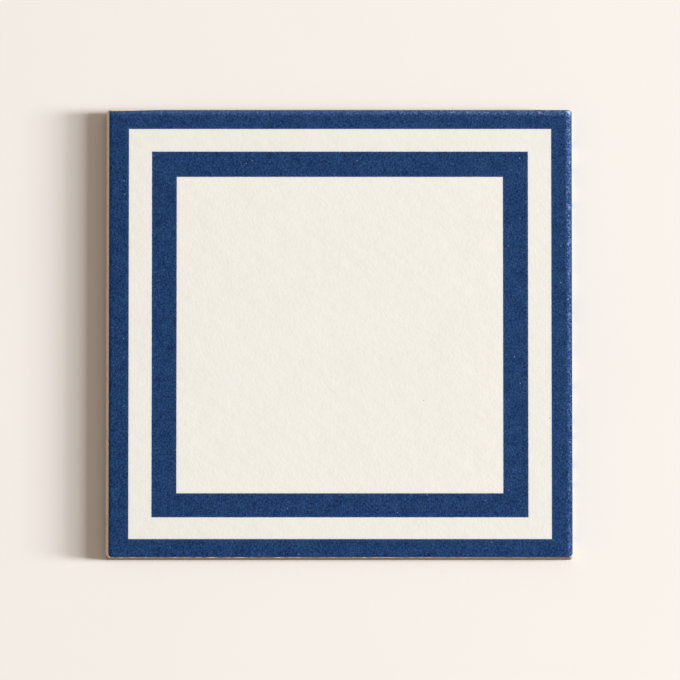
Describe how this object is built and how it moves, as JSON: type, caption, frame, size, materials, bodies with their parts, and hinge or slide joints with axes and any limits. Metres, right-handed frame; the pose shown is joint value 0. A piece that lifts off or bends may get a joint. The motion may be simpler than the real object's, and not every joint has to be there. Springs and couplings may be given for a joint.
{
  "type": "decorative ceramic tile",
  "caption": "Square glazed ceramic tile with a rolled edge and nested blue square frames on a cream face, and a keyed back that beds in adhesive on a floor or wall.",
  "frame": {"origin": "middle of the back, in the plane of the ribs that the tile lies on", "axes": "+Z out of the decorated face, X and Y along the sides; -Y is the side that lies lowest in the picture"},
  "size_m": [0.2, 0.2, 0.0065],
  "materials": {
    "glazed_face": "satin"
  },
  "bodies": {
    "root": {"tile": "glazed_face"}
  },
  "joints": []
}
